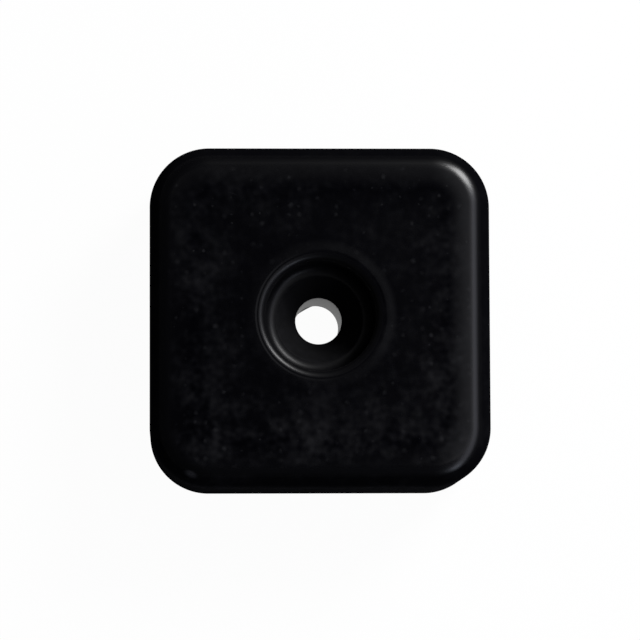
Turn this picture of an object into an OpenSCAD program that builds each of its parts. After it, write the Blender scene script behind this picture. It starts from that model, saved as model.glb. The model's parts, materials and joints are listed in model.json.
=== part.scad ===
// Square screw-on rubber foot, moulded in one piece.
// It lies on its flat mounting face at z = 0, with the rounded floor side and the screw recess facing up.
// Millimetres. The origin is the centre of the mounting face, on the axis of the screw hole.

/* [Body] */
// Side of the square
side = 40; // [30:0.5:60]
// Height from the mounting face to the floor face
height = 18; // [14:0.5:30]
// Plan radius of the four corners
corner_r = 7; // [5:0.5:12]
// Radius of the rounded edge around the floor face
edge_r = 3; // [1.5:0.1:4.5]
// Radius that breaks the edge around the mounting face
base_edge_r = 0.4; // [0.2:0.1:1]

/* [Screw recess] */
// Diameter of the recess
recess_d = 13; // [12.75:0.25:18]
// Depth of the ledge below the floor face
recess_depth = 5.5; // [3.5:0.25:8]
// Radius of the soft lip where the recess opens
lip_r = 0.9; // [0.4:0.1:1.5]
// Radius of the hollow between the recess wall and the ledge
hollow_r = 1.2; // [0.5:0.1:1.3]

/* [Screw hole] */
// Diameter of the screw hole
bore_d = 5.5; // [3:0.1:7]
// Diameter of the countersink at the ledge
countersink_d = 10.2; // [8:0.1:10.4]
// Included angle of the countersink, in degrees
countersink_angle = 90; // [80:1:120]

/* [Hidden] */
$fn = 128;

// How far a cutter reaches past the faces that it cuts
cut_over = 1;
corner_axis = side / 2 - corner_r;
ledge_z = height - recess_depth;
recess_r = recess_d / 2;
bore_r = bore_d / 2;
countersink_r = countersink_d / 2;
bore_top_z = ledge_z - (countersink_r - bore_r) / tan(countersink_angle / 2);

// Quarter of a disc about a centre, which fills the quadrant that starts at the given angle
module quarter_disc(centre, r, start) {
    translate(centre)
        rotate(start)
            intersection() {
                circle(r);
                square(2 * r);
            }
}

// Section of the wall with both of its round edges, from a corner's axis outwards
module wall_section() {
    base = [corner_r - base_edge_r, base_edge_r];
    edge = [corner_r - edge_r, height - edge_r];
    polygon([
        [0, 0],
        [base.x, 0],
        base,
        [corner_r, base.y],
        [corner_r, edge.y],
        edge,
        [edge.x, height],
        [0, height]
    ]);
    quarter_disc(base, base_edge_r, -90);
    quarter_disc(edge, edge_r, 0);
}

// Block with round corners and round edges: a core, and a straight wall and a corner for each quarter turn
module outer_block() {
    straight = 2 * corner_axis;
    translate([-corner_axis, -corner_axis, 0]) cube([straight, straight, height]);
    for (quarter = [0:3])
        rotate([0, 0, 90 * quarter])
            translate([corner_axis, corner_axis, 0]) {
                rotate([90, 0, 0]) linear_extrude(height = straight) wall_section();
                rotate_extrude(angle = 90) wall_section();
            }
}

// Half section of the stepped hole: screw hole, countersink, ledge, hollow, wall and the lip that opens it
module hole_section() {
    hollow = [recess_r - hollow_r, ledge_z + hollow_r];
    lip = [recess_r + lip_r, height - lip_r];
    mouth_z = height + cut_over;
    mouth_x = recess_r - cut_over;
    polygon([
        [0, -cut_over],
        [bore_r, -cut_over],
        [bore_r, bore_top_z],
        [countersink_r, ledge_z],
        [hollow.x, ledge_z],
        hollow,
        [recess_r, hollow.y],
        [recess_r, lip.y],
        [mouth_x, mouth_z],
        [0, mouth_z]
    ]);
    quarter_disc(hollow, hollow_r, -90);
    difference() {
        polygon([[recess_r, lip.y], lip, [lip.x, mouth_z], [mouth_x, mouth_z]]);
        translate(lip) circle(lip_r);
    }
}

// The foot: the rounded block with the stepped screw hole through its middle
module rubber_foot() {
    color("#121214")
        difference() {
            outer_block();
            rotate_extrude() hole_section();
        }
}

rubber_foot();
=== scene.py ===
# Square screw-on foot of black moulded rubber, lying on its mounting face with the screw recess up.
import json
from math import cos, pi, radians, sin

import bpy
import numpy as np
from mathutils import Matrix, Vector


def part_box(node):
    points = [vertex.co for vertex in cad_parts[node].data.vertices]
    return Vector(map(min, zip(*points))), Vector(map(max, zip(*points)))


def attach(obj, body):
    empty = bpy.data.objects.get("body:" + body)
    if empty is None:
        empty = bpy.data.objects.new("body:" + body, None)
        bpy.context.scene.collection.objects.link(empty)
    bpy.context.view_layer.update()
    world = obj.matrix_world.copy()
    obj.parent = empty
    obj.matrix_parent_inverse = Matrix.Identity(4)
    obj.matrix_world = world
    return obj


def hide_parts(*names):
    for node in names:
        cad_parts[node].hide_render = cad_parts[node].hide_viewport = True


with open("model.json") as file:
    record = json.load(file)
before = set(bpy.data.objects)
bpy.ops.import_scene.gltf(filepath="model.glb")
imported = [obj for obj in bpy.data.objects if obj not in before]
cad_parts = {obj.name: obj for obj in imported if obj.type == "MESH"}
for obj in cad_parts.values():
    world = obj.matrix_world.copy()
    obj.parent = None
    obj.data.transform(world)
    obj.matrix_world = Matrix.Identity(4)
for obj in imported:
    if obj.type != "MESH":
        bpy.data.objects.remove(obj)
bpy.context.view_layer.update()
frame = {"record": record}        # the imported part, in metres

mm = 0.001


def hexToLinear(hexColour):
    srgb = np.array([int(hexColour[i:i + 2], 16) for i in (1, 3, 5)]) / 255
    linear = np.where(srgb <= 0.04045, srgb / 12.92, ((srgb + 0.055) / 1.055) ** 2.4)
    return (*linear.tolist(), 1.0)


def addNode(tree, kind, inputs=None, **settings):
    # inputs are plain values or the sockets that feed the node, settings are the node's own fields
    node = tree.nodes.new(kind)
    for field, setting in settings.items():
        setattr(node, field, setting)
    for socket, value in (inputs or {}).items():
        if isinstance(value, bpy.types.NodeSocket):
            tree.links.new(value, node.inputs[socket])
        else:
            node.inputs[socket].default_value = value
    return node.outputs


def newMaterial(name):
    material = bpy.data.materials.new(name)
    material.use_nodes = True
    material.node_tree.nodes.clear()
    return material, material.node_tree


# The foot's surface: one closed section, carried once around the screw hole's axis.

footSizes = {               # millimetres
    # forms that the solid has too
    "cornerRadius": 7.0,
    "edgeRadius": 3.0,
    "baseEdgeRadius": 0.4,
    "recessRadius": 6.5,
    "recessDepth": 5.5,
    "lipRadius": 0.9,
    "hollowRadius": 1.2,
    "countersinkRadius": 5.1,
    # marks of the mould and of wear, too slight for the solid
    "runOut": 2.4,          # width of the soft run-out of the floor face into the round edge
    "runOutSlope": 6.0,     # degrees that it falls at its outer end
    "beadRadius": 7.75,     # crest of the low bead that the mould's core pin left around the recess
    "beadFall": 1.3,        # from the crest out to the floor face
    "beadHeight": 0.03,
    "softEdge": 0.12,       # radius to which the edges of the countersink and the hole are worn
    "flashAngle": 119.0,    # degrees, where a tag of flash closes a little of the hole's lower rim
    "flashReach": 0.18,
    "flashHeight": 0.5,
    # degrees at which the finish changes around the lip and down the round edge
    "lipTurn": 124.0,
    "edgeTurns": (72.0, 63.0, 51.0, 24.0),
    # columns of the grid
    "samplesPerCorner": 40,
    "samplesPerSide": 48,
}
finishLabels = ("shine", "roughness", "bloom", "wall")
footFinish = {              # in the order of the labels; a pair runs from the stretch's start to its end
    "hole": (0.8, 0.45, 0, 0.1),
    "holeRim": (0.6, 0.5, 0, 0.1),
    "countersink": (0.1, 0.5, 0, 0.85),
    "seatEdge": (0.1, 0.5, 0, 0.85),
    "ledge": ((0.1, 0.6), (0.5, 0.36), 0, (0.85, 0.3)),
    "hollow": ((0.6, 0.4), (0.36, 0.45), 0, (0.3, 0.35)),
    "recessWall": ((0.4, 0.55), 0.45, 0, 0.35),
    "lip": ((0.55, 1), (0.45, 0.38), 0, (0.5, 0.1)),
    "lipTop": ((1, 0.25), (0.38, 0.26), 0, (0.1, 0)),
    "beadRise": ((0.35, 0.9), 0.22, (0.15, 0.35), 0),
    "beadFall": ((0.9, 0.35), 0.22, 0.35, 0),
    "floorFace": ((0.35, 1), 0.22, (0.35, 1), 0),
    "runOut": (1, 0.22, (1, 0.5), 0),
    "edgeTop": (1, (0.22, 0.28), (0.5, 0), 0),
    "edgeCrown": (1, 0.28, 0, 0),
    "edgeFade": ((1, 0), 0.28, 0, (0, 0.25)),
    "shoulder": (0, 0.33, 0, 0.25),
    "shoulderFoot": (0, 0.33, 0, (0.25, 1)),
    "outerWall": (0, 0.33, 0, 1),
    "baseEdge": (0, 0.33, 0, 1),
    "underside": (0.2, 0.6, 0, 1),
}


def line(start, end, count):
    # points from start up to, but without, end
    t = np.linspace(0, 1, count, endpoint=False)[:, None]
    return np.array(start) * (1 - t) + np.array(end) * t


def arc(centre, radius, fromAngle, toAngle, count):
    # centre plus radius times (cosine, sine), without the last angle
    a = np.radians(np.linspace(fromAngle, toAngle, count, endpoint=False))
    return np.array(centre) + radius * np.stack([np.cos(a), np.sin(a)], 1)


def between(first, last, count):
    # rings that blend straight from the first to the last, without the last
    t = np.linspace(0, 1, count, endpoint=False)[:, None, None]
    return first * (1 - t) + last * t


def aroundFoot(sizes, halfSide):
    # The grid's columns: core points and outward normals of the rounded square, and for the circles the unit
    # vector through the same place on the outline, so that the columns run straight outwards.
    core = halfSide - sizes["cornerRadius"]
    along = np.linspace(-core, core, sizes["samplesPerSide"], endpoint=False)
    sweep = np.linspace(0, pi / 2, sizes["samplesPerCorner"], endpoint=False)
    x = np.full(len(along) + len(sweep), core)
    y = np.concatenate([along, np.full_like(sweep, core)])
    turn = np.concatenate([np.zeros_like(along), sweep])
    quarter = np.arange(4)[:, None] * pi / 2
    c, s = np.cos(quarter), np.sin(quarter)
    cores = np.stack([x * c - y * s, x * s + y * c], 2).reshape(-1, 2)
    normals = np.stack([np.cos(turn + quarter), np.sin(turn + quarter)], 2).reshape(-1, 2)
    outline = cores + sizes["cornerRadius"] * normals
    return cores, normals, outline / np.linalg.norm(outline, axis=1, keepdims=True)


def footSurface(sizes, finish, halfSide, height, boreRadius, boreLength):
    # Each stretch of the section is a row of (reach, height) points. A round stretch counts reach from the
    # hole's axis, a square one from the core square, and a level face blends straight from one to the other.
    cores, normals, spokes = aroundFoot(sizes, halfSide)

    def rings(points, start, direction):
        xy = start[None] + points[:, None, :1] * direction[None]
        z = np.broadcast_to(points[:, None, 1:], (*xy.shape[:2], 1))
        return np.concatenate([xy, z], 2)

    def circles(points):
        return rings(points, np.zeros_like(cores), spokes)

    def squares(points):
        return rings(points, cores, normals)

    soft, lipR, hollowR = sizes["softEdge"], sizes["lipRadius"], sizes["hollowRadius"]
    edgeR, baseR, cornerR = sizes["edgeRadius"], sizes["baseEdgeRadius"], sizes["cornerRadius"]
    recess, seat = sizes["recessRadius"], sizes["countersinkRadius"]
    ledge = height - sizes["recessDepth"]
    floorZ = height - sizes["beadHeight"]

    # a worn edge touches both neighbours at its radius times tan(half its turn) from the sharp corner
    cone = np.arctan2(seat - boreRadius, ledge - boreLength)      # countersink's angle from the axis
    coneTurn = 180 - np.degrees(cone)
    upCone = np.array([sin(cone), cos(cone)])
    rimTouch = soft * np.tan(cone / 2)
    seatTouch = soft * np.tan((pi / 2 - cone) / 2)
    seatLow = np.array([boreRadius, boreLength]) + rimTouch * upCone
    seatHigh = np.array([seat, ledge]) - seatTouch * upCone

    # half a cosine wave up to the bead's crest and half a wave down again, from the lip to the floor face
    crest = sizes["beadRadius"]
    beadIn, beadOut = recess + lipR, crest + sizes["beadFall"]
    rise = line((beadIn, floorZ), (crest, floorZ), 16)
    rise[:, 1] += sizes["beadHeight"] * (1 + np.cos(pi * (rise[:, 0] - crest) / (crest - beadIn))) / 2
    fall = line((crest, floorZ), (beadOut, floorZ), 16)
    fall[:, 1] += sizes["beadHeight"] * (1 + np.cos(pi * (fall[:, 0] - crest) / sizes["beadFall"])) / 2

    # the run-out falls as the square of the way along it, and the round edge goes on from its slope
    slope = radians(sizes["runOutSlope"])
    runOut = line((0, 0), (sizes["runOut"], 0), 12)
    runOut[:, 1] = floorZ - runOut[:, 0] ** 2 * np.tan(slope) / (2 * sizes["runOut"])
    runOut[:, 0] += cornerR - edgeR * (1 - sin(slope)) - sizes["runOut"]

    lipAxis = (recess + lipR, floorZ - lipR)
    edgeAxis = (cornerR - edgeR, floorZ - sizes["runOut"] * np.tan(slope) / 2 - edgeR * cos(slope))
    edgeStart = 90 - sizes["runOutSlope"]
    crownTurn, fadeTurn, shoulderTurn, footTurn = sizes["edgeTurns"]
    floorIn = circles(np.array([[beadOut, floorZ]]))
    floorOut = squares(runOut[:1])
    underOut = squares(np.array([[cornerR - baseR, 0.0]]))
    underIn = circles(np.array([[boreRadius + soft, 0.0]]))

    # flash: a chord across the lower end of the hole, fading out up the wall
    hole = circles(np.concatenate([
        arc((boreRadius + soft, soft), soft, 270, 180, 6),
        line((boreRadius, soft), (boreRadius, sizes["flashHeight"]), 6),
        line((boreRadius, sizes["flashHeight"]), (boreRadius, boreLength - rimTouch), 16),
    ]))
    angle = np.arctan2(spokes[:, 1], spokes[:, 0]) - radians(sizes["flashAngle"])
    sideways = 0.1          # keeps the chord's formula finite on the far side of the hole
    chord = (boreRadius - sizes["flashReach"]) / np.maximum(np.cos(angle), sideways)
    closed = np.clip(boreRadius - chord, 0, None)
    fade = np.clip(1 - hole[:, :1, 2] / sizes["flashHeight"], 0, 1) ** 2
    hole[:, :, :2] -= (fade * closed[None])[:, :, None] * spokes[None]
    underIn[:, :, :2] -= closed[None, :, None] * spokes[None]

    # from the hole's lower rim up, out over the floor face, down the outside and back underneath
    section = {
        "hole": hole,
        "holeRim": circles(arc((boreRadius + soft, boreLength - rimTouch), soft, 180, coneTurn, 6)),
        "countersink": circles(line(seatLow, seatHigh, 14)),
        "seatEdge": circles(arc((seat + seatTouch, ledge - soft), soft, coneTurn, 90, 6)),
        "ledge": circles(line((seat + seatTouch, ledge), (recess - hollowR, ledge), 3)),
        "hollow": circles(arc((recess - hollowR, ledge + hollowR), hollowR, 270, 360, 16)),
        "recessWall": circles(line((recess, ledge + hollowR), (recess, floorZ - lipR), 8)),
        "lip": circles(arc(lipAxis, lipR, 180, sizes["lipTurn"], 12)),
        "lipTop": circles(arc(lipAxis, lipR, sizes["lipTurn"], 90, 9)),
        "beadRise": circles(rise),
        "beadFall": circles(fall),
        "floorFace": between(floorIn, floorOut, 24),
        "runOut": squares(runOut),
        "edgeTop": squares(arc(edgeAxis, edgeR, edgeStart, crownTurn, 8)),
        "edgeCrown": squares(arc(edgeAxis, edgeR, crownTurn, fadeTurn, 5)),
        "edgeFade": squares(arc(edgeAxis, edgeR, fadeTurn, shoulderTurn, 6)),
        "shoulder": squares(arc(edgeAxis, edgeR, shoulderTurn, footTurn, 8)),
        "shoulderFoot": squares(arc(edgeAxis, edgeR, footTurn, 0, 7)),
        "outerWall": squares(line((cornerR, edgeAxis[1]), (cornerR, baseR), 20)),
        "baseEdge": squares(arc((cornerR - baseR, baseR), baseR, 0, -90, 8)),
        "underside": between(underOut, underIn, 12),
    }
    grid = np.concatenate(list(section.values())) * mm
    rows = {}
    for column, label in enumerate(finishLabels):
        ends = [(*np.broadcast_to(finish[name][column], 2), len(part)) for name, part in section.items()]
        rows[label] = np.concatenate([np.linspace(*end, endpoint=False) for end in ends])
    return grid, rows


def gridMesh(name, grid, rowValues):
    # a grid that closes on itself both ways: rows along the section, columns around the axis
    rows, columns = grid.shape[:2]
    index = np.arange(rows * columns).reshape(rows, columns)
    right = np.roll(index, -1, 1)
    faces = np.stack([index, np.roll(index, -1, 0), np.roll(right, -1, 0), right], 2).reshape(-1, 4)
    mesh = bpy.data.meshes.new(name)
    mesh.vertices.add(rows * columns)
    mesh.vertices.foreach_set("co", grid.reshape(-1).astype(np.float32))
    mesh.loops.add(faces.size)
    mesh.loops.foreach_set("vertex_index", faces.reshape(-1).astype(np.int32))
    mesh.polygons.add(len(faces))
    mesh.polygons.foreach_set("loop_start", np.arange(0, faces.size, 4, dtype=np.int32))
    mesh.polygons.foreach_set("use_smooth", np.ones(len(faces), dtype=bool))
    for label, values in rowValues.items():
        layer = mesh.attributes.new(label, "FLOAT", "POINT")
        layer.data.foreach_set("value", np.repeat(values, columns).astype(np.float32))
    mesh.update(calc_edges=True)
    mesh.validate()
    return mesh


lowCorner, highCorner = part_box("rubber_foot")
halfSide = (highCorner[0] - lowCorner[0]) / 2 / mm
height = (highCorner[2] - lowCorner[2]) / mm
screwHole = next(mount for mount in frame["record"]["mounts"] if mount["name"] == "screw_hole")["dims"]
footGrid, footRows = footSurface(footSizes, footFinish, halfSide, height,
                                 screwHole["r_mm"], screwHole["length_mm"])
foot = bpy.data.objects.new("moulded_foot", gridMesh("moulded_foot", footGrid, footRows))
bpy.context.scene.collection.objects.link(foot)
print("foot surface:", footGrid.shape[0], "rings of", footGrid.shape[1], "points")


# Carbon-black rubber out of a polished mould: deep black, satin on the floor face, its round edge and the
# lip of the recess, matte in the countersink and down the walls. A patchy grey bloom of wax lies on the
# floor face and the walls, and dust and lint on the floor face. A small glint is painted on one corner's
# round edge.

rubberLook = {
    "black": "#020204",
    "wall": "#131314",
    "bloom": "#1a1a1c",
    "dust": "#212123",
    # colour of the glint painted on the front left corner's round edge
    "paintedGlint": "#2a2a2d",
    "ior": 1.52,
    "specular": 0.29,
    "dulling": 0.9,         # share of the shine that full bloom takes away
    "wallBloom": 1.0,       # share of the floor face's bloom that the walls have
    # bloom: widths of its clouds, spots and grain in millimetres, and weights of the last two
    "bloomPatch": 5.5,
    "bloomSpot": 1.6,
    "spotWeight": 0.85,
    "bloomGrain": 0.7,      # real wax grains are finer and would not show
    "grainWeight": 0.55,
    "bloomShift": (-68.0, 10.0, 0.0),    # millimetres, to the stretch of the pattern that suits the foot
    "hazeRange": (0.88, 1.7),            # sums of the weighted patterns that give no bloom and full bloom
    "hazePower": 1.8,
    "hazeFront": 1.3,       # the bloom's grey is scaled from back to front between these amounts, so the floor face is lighter towards the front
    "hazeBack": 0.5,
    "hazeReach": 16.0,      # millimetres from the middle at which it has them
    # dust and lint: sizes in millimetres, share of the cells with a speck, and a power that dims the weak
    "dustCell": 1.1,
    "dustRadius": 0.45,     # to the end of its soft rim; real dust is finer and would not show
    "dustShare": 0.55,
    "dustFade": 2.5,
    "raggedSize": 0.6,      # the specks' rims wander over this length
    "raggedReach": 0.3,     # by up to this far
    "lintCell": 1.4,
    "lintRadius": 0.07,
    "lintShare": 0.12,
    "lintFade": 1.0,
    "lintLength": 7.0,      # times its width
    "lintTurn": 25.0,       # degrees
    "bendSize": 8.0,        # and the lint bends over this length
    "bendReach": 6.0,       # by up to this far
    # painted highlight: the place and half lengths of a soft pale oval in millimetres
    "glintPlace": (-15.2, -18.5, 0.0),
    "glintTurn": -24.0,     # degrees
    "glintReach": (1.0, 0.5),
    "glintCore": 0.2,       # share of the half lengths that is painted at full strength
    # relief of the mould's polish, sizes in millimetres, drawn coarser than it is so that it shows
    "polishSize": 0.35,
    "polishDepth": 0.003,
    "polishStrength": 0.5,
}
mixFactor, mixFirst, mixSecond, mixResult = 0, 6, 7, 2      # a colour mix's sockets


def patternScale(size):
    return 1 / (size * mm)


def scatter(tree, vector, cell, radius, share, fadePower):
    # In a share of the cells lies one speck, which is soft at its rim and has its own size and strength.
    cells = addNode(tree, "ShaderNodeTexVoronoi", {"Vector": vector, "Scale": patternScale(cell)},
                    voronoi_dimensions="2D")
    chance = addNode(tree, "ShaderNodeSeparateColor", {"Color": cells["Color"]})
    smallest = 0.0001       # in cells, so that a cell with no speck divides by more than nothing
    reach = addNode(tree, "ShaderNodeMapRange", {
        "Value": chance["Red"], "From Min": 1 - share, "To Min": smallest, "To Max": radius / cell})["Result"]
    away = addNode(tree, "ShaderNodeMath", {0: cells["Distance"], 1: reach}, operation="DIVIDE")[0]
    inside = addNode(tree, "ShaderNodeMath", {0: 1.0, 1: away}, operation="SUBTRACT")[0]
    inside = addNode(tree, "ShaderNodeClamp", {"Value": inside})["Result"]
    strength = addNode(tree, "ShaderNodeMath", {0: chance["Green"], 1: fadePower}, operation="POWER")[0]
    return addNode(tree, "ShaderNodeMath", {0: inside, 1: strength}, operation="MULTIPLY")[0]


def bloomHaze(tree, look, place):
    # Clouds of a few millimetres break up into spots and grain, and the grey is scaled up towards the front.
    shift = [v * mm for v in look["bloomShift"]]
    spread = addNode(tree, "ShaderNodeMapping", {"Vector": place, "Location": shift})[0]
    haze = addNode(tree, "ShaderNodeTexNoise", {
        "Vector": spread, "Scale": patternScale(look["bloomPatch"]), "Detail": 1.0})["Fac"]
    for size, detail, weight in ((look["bloomSpot"], 1.0, look["spotWeight"]),
                                 (look["bloomGrain"], 0.0, look["grainWeight"])):
        finer = addNode(tree, "ShaderNodeTexNoise", {
            "Vector": spread, "Scale": patternScale(size), "Detail": detail})["Fac"]
        finer = addNode(tree, "ShaderNodeMath", {0: finer, 1: weight}, operation="MULTIPLY")[0]
        haze = addNode(tree, "ShaderNodeMath", {0: haze, 1: finer}, operation="ADD")[0]
    none, full = look["hazeRange"]
    haze = addNode(tree, "ShaderNodeMapRange", {"Value": haze, "From Min": none, "From Max": full})["Result"]
    haze = addNode(tree, "ShaderNodeMath", {0: haze, 1: look["hazePower"]}, operation="POWER")[0]
    depth = addNode(tree, "ShaderNodeSeparateXYZ", {"Vector": place})["Y"]
    amount = addNode(tree, "ShaderNodeMapRange", {
        "Value": depth, "From Min": -look["hazeReach"] * mm, "From Max": look["hazeReach"] * mm,
        "To Min": look["hazeFront"], "To Max": look["hazeBack"]})["Result"]
    return addNode(tree, "ShaderNodeMath", {0: haze, 1: amount}, operation="MULTIPLY")[0]


def dustAndLint(tree, look, place):
    # Dust is ragged specks, and lint is stretched ones whose direction wanders.
    wandered = []
    for size, detail, reach in ((look["raggedSize"], 1.0, look["raggedReach"]),
                                (look["bendSize"], 0.0, look["bendReach"])):
        drift = addNode(tree, "ShaderNodeTexNoise", {
            "Vector": place, "Scale": patternScale(size), "Detail": detail})["Color"]
        wandered.append(addNode(tree, "ShaderNodeVectorMath", {0: drift, 1: [reach * mm] * 3, 2: place},
                                operation="MULTIPLY_ADD")[0])
    ragged, bent = wandered
    drawn = addNode(tree, "ShaderNodeMapping", {
        "Vector": bent, "Rotation": (0, 0, radians(look["lintTurn"])),
        "Scale": (1 / look["lintLength"], 1, 1)})[0]
    dust = scatter(tree, ragged, look["dustCell"], look["dustRadius"], look["dustShare"], look["dustFade"])
    lint = scatter(tree, drawn, look["lintCell"], look["lintRadius"], look["lintShare"], look["lintFade"])
    return addNode(tree, "ShaderNodeMath", {0: dust, 1: lint}, operation="MAXIMUM")[0]


def paintedGlintMask(tree, look, place):
    # A painted highlight: one soft oval, whose own axes run to 1 at its rim.
    halfLong, halfWide = look["glintReach"]
    oval = addNode(tree, "ShaderNodeMapping", {
        "Vector": place, "Location": [v * mm for v in look["glintPlace"]],
        "Rotation": (0, 0, radians(look["glintTurn"])),
        "Scale": (halfLong * mm, halfWide * mm, 1)}, vector_type="TEXTURE")[0]
    away = addNode(tree, "ShaderNodeVectorMath", {0: oval}, operation="LENGTH")["Value"]
    return addNode(tree, "ShaderNodeMapRange", {
        "Value": away, "From Min": look["glintCore"], "To Min": 1.0, "To Max": 0.0},
        interpolation_type="SMOOTHSTEP")["Result"]


def mouldedRubber(look):
    material, tree = newMaterial("moulded_black_rubber")
    place = addNode(tree, "ShaderNodeTexCoord")["Object"]
    shine, roughness, bloomed, wall = [
        addNode(tree, "ShaderNodeAttribute", attribute_name=label)["Fac"] for label in finishLabels]

    wallHazed = addNode(tree, "ShaderNodeMath", {0: wall, 1: look["wallBloom"]}, operation="MULTIPLY")[0]
    hazed = addNode(tree, "ShaderNodeMath", {0: bloomed, 1: wallHazed}, operation="ADD")[0]
    haze = bloomHaze(tree, look, place)
    bloomAmount = addNode(tree, "ShaderNodeMath", {0: haze, 1: hazed}, operation="MULTIPLY")[0]
    specks = dustAndLint(tree, look, place)
    dustAmount = addNode(tree, "ShaderNodeMath", {0: specks, 1: bloomed}, operation="MULTIPLY")[0]
    # mask of the glint painted on the front left corner's round edge
    glintMask = paintedGlintMask(tree, look, place)

    # the wall's colour, the bloom, the dust and the painted highlight lie over the black in that order
    colour = hexToLinear(look["black"])
    for layer, amount in (("wall", wall), ("bloom", bloomAmount), ("dust", dustAmount), ("paintedGlint", glintMask)):
        colour = addNode(tree, "ShaderNodeMix", {
            mixFactor: amount, mixFirst: colour, mixSecond: hexToLinear(look[layer])},
            data_type="RGBA")[mixResult]

    mostLost = look["specular"] * look["dulling"]
    lost = addNode(tree, "ShaderNodeMath", {0: bloomed, 1: mostLost}, operation="MULTIPLY")[0]
    specular = addNode(tree, "ShaderNodeMath", {0: look["specular"], 1: lost}, operation="SUBTRACT")[0]
    specular = addNode(tree, "ShaderNodeMath", {0: shine, 1: specular}, operation="MULTIPLY")[0]
    polish = addNode(tree, "ShaderNodeTexNoise", {
        "Vector": place, "Scale": patternScale(look["polishSize"]), "Detail": 2.0})["Fac"]
    relief = addNode(tree, "ShaderNodeBump", {
        "Height": polish, "Strength": look["polishStrength"], "Distance": look["polishDepth"] * mm})["Normal"]
    rubber = addNode(tree, "ShaderNodeBsdfPrincipled", {
        "Base Color": colour, "Roughness": roughness, "Specular IOR Level": specular,
        "IOR": look["ior"], "Normal": relief})["BSDF"]
    addNode(tree, "ShaderNodeOutputMaterial", {"Surface": rubber})
    return material


foot.data.materials.append(mouldedRubber(rubberLook))
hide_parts("rubber_foot")
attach(foot, "root")
print("rubber finish set")


# Stage: a white sweep of paper, softboxes around the foot and a camera almost straight above it.

stageLook = {
    "paper": "#f4f4f4",
    "paperSize": 8.0,       # metres
    "paperGap": 0.0001,     # metres, keeps the paper's level apart from the mounting face's
    "paperGlow": 0.97,      # share of the paper's white that does not depend on the lamps
    "worldGrey": 0.03,
    "softboxes": (          # azimuth from +X and tilt from overhead in degrees, sizes in metres
        {"name": "key", "azimuth": 47, "tilt": 50, "distance": 0.5, "width": 0.17, "tall": 0.17,
         "radiance": 27, "colour": "#ffffff"},
        {"name": "side", "azimuth": -6, "tilt": 44, "distance": 0.6, "width": 0.2, "tall": 1.1,
         "radiance": 1.95, "colour": "#eef0ff"},
        {"name": "over", "azimuth": 15, "tilt": 24, "distance": 0.6, "width": 0.3, "tall": 0.55,
         "radiance": 1.0, "colour": "#f6f7ff"},
        {"name": "back", "azimuth": 95, "tilt": 18, "distance": 0.6, "width": 0.5, "tall": 0.16,
         "radiance": 0.18, "colour": "#ffffff"},
        {"name": "window", "azimuth": -54, "tilt": 63, "distance": 0.6, "width": 0.14, "tall": 0.14,
         "radiance": 4.6, "colour": "#e2edff"},
    ),
}
viewPoint = {
    "azimuth": -22.6,       # degrees from straight in front, towards the left
    "elevation": 84.3,      # degrees
    "roll": -0.23,          # degrees
    "distance": 456.7,      # millimetres from the foot's middle
    "aim": (0.23, 0.25, 9.0),            # millimetres
    "lens": 215.8,          # millimetres, as is the sensor
    "sensor": 36.0,
    "nearClip": 10.0,       # millimetres
}


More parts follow.
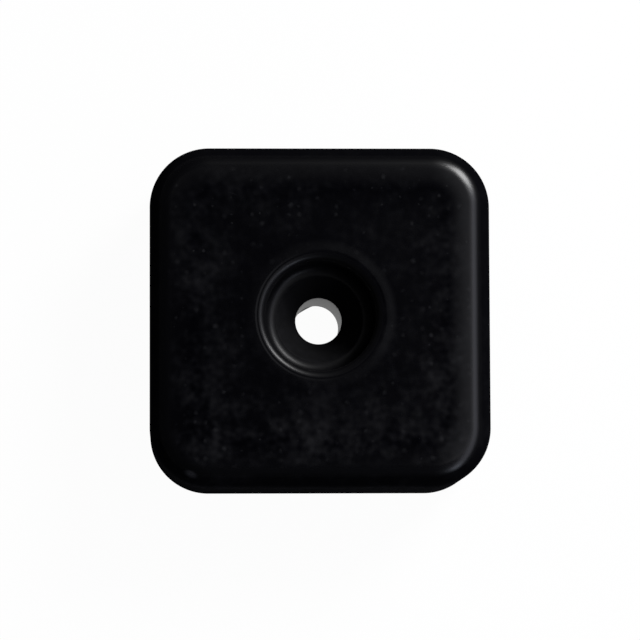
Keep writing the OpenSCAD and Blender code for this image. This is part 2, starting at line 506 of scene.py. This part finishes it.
def paperSweep(look, level):
    half = look["paperSize"] / 2
    corners = [(-half, -half, level), (half, -half, level), (half, half, level), (-half, half, level)]
    mesh = bpy.data.meshes.new("paper_sweep")
    mesh.from_pydata(corners, [], [(0, 1, 2, 3)])
    paper = bpy.data.objects.new("paper_sweep", mesh)
    bpy.context.scene.collection.objects.link(paper)
    material, tree = newMaterial("white_paper")
    matte = addNode(tree, "ShaderNodeBsdfDiffuse", {"Color": hexToLinear(look["paper"])})[0]
    glow = addNode(tree, "ShaderNodeEmission", {"Color": (1, 1, 1, 1), "Strength": 1.0})[0]
    path = addNode(tree, "ShaderNodeLightPath")
    seen = path["Is Camera Ray"]
    for ray in ("Is Glossy Ray", "Is Transmission Ray"):
        seen = addNode(tree, "ShaderNodeMath", {0: seen, 1: path[ray]}, operation="MAXIMUM")[0]
    share = addNode(tree, "ShaderNodeMath", {0: seen, 1: look["paperGlow"]}, operation="MULTIPLY")[0]
    mixed = addNode(tree, "ShaderNodeMixShader", {0: share, 1: matte, 2: glow})[0]
    addNode(tree, "ShaderNodeOutputMaterial", {"Surface": mixed})
    mesh.materials.append(material)


def pointAt(obj, place, target, roll=0.0):
    # looks from place to target with image up towards +Y, then rolls
    back = (place - target).normalized()
    up = (Vector((0, 1, 0)) - back * back.y).normalized()
    right = up.cross(back)
    turn = Matrix((right, up, back)).transposed()
    obj.matrix_world = Matrix.Translation(place) @ turn.to_4x4() @ Matrix.Rotation(roll, 4, "Z")


def softbox(target, name, azimuth, tilt, distance, width, tall, radiance, colour):
    # a lamp's radiance is its power over pi times its area
    light = bpy.data.lights.new(name + "_softbox", "AREA")
    light.shape = "RECTANGLE"
    light.size, light.size_y = width, tall
    light.color = hexToLinear(colour)[:3]
    light.energy = radiance * pi * width * tall
    lamp = bpy.data.objects.new(name + "_softbox", light)
    bpy.context.scene.collection.objects.link(lamp)
    a, t = radians(azimuth), radians(tilt)
    place = target + distance * Vector((sin(t) * cos(a), sin(t) * sin(a), cos(t)))
    pointAt(lamp, place, target)


def addCamera(view, middle):
    a, e = radians(view["azimuth"]), radians(view["elevation"])
    back = Vector((sin(a) * cos(e), -cos(a) * cos(e), sin(e)))
    cameraData = bpy.data.cameras.new("camera")
    cameraData.lens = view["lens"]
    cameraData.sensor_width = view["sensor"]
    cameraData.clip_start = view["nearClip"] * mm
    camera = bpy.data.objects.new("camera", cameraData)
    bpy.context.scene.collection.objects.link(camera)
    place = middle + back * view["distance"] * mm
    pointAt(camera, place, Vector(view["aim"]) * mm, radians(view["roll"]))
    return camera


middle = Vector((0, 0, height / 2)) * mm
paperSweep(stageLook, lowCorner[2] - stageLook["paperGap"])
for box in stageLook["softboxes"]:
    softbox(middle, **box)
world = bpy.data.worlds.new("dim_room")
world.use_nodes = True
world.node_tree.nodes["Background"].inputs["Color"].default_value = (*[stageLook["worldGrey"]] * 3, 1)
bpy.context.scene.world = world
bpy.context.scene.camera = addCamera(viewPoint, middle)
bpy.context.scene.view_settings.view_transform = "Standard"
print("stage, lamps and camera set")
